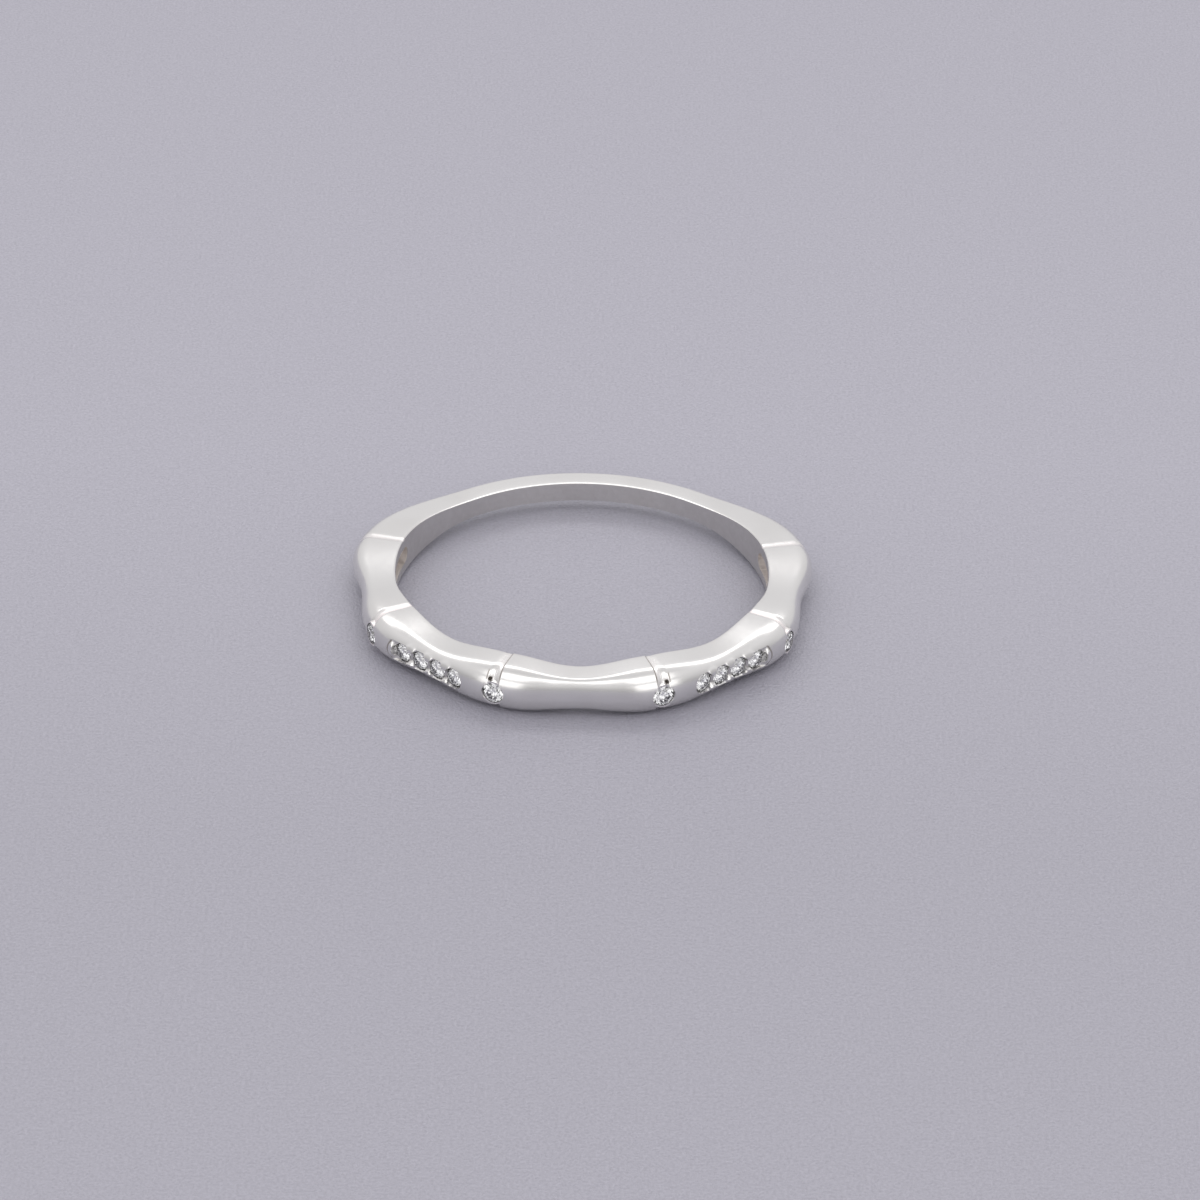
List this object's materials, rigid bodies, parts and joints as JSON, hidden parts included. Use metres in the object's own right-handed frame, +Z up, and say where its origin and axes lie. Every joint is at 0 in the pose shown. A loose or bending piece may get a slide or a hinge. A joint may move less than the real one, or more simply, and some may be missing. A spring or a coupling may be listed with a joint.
{
  "type": "bone-segment finger ring",
  "caption": "Slim silver finger ring of bone-shaped segments, with round clear stones set in channels and on the joints between them, tapering to a plain shank at the back.",
  "frame": {"origin": "centre of the finger bore, on its axis and at the middle of the ring's height", "axes": "+Z up along the axis of the finger bore, -Y towards the centre bone at the front, +X to the right seen from the front"},
  "size_m": [0.0214, 0.0203, 0.0022],
  "materials": {
    "silver": "polished silver with fine wear",
    "clear_stone": "faceted and polished"
  },
  "bodies": {
    "root": {"band": "silver", "joint_stone_front_left": "clear_stone", "joint_stone_front_right": "clear_stone", "joint_stone_side_left": "clear_stone", "joint_stone_side_right": "clear_stone", "small_stone_left_1": "clear_stone", "small_stone_left_2": "clear_stone", "small_stone_left_3": "clear_stone", "small_stone_left_4": "clear_stone", "small_stone_right_1": "clear_stone", "small_stone_right_2": "clear_stone", "small_stone_right_3": "clear_stone", "small_stone_right_4": "clear_stone"}
  },
  "joints": []
}
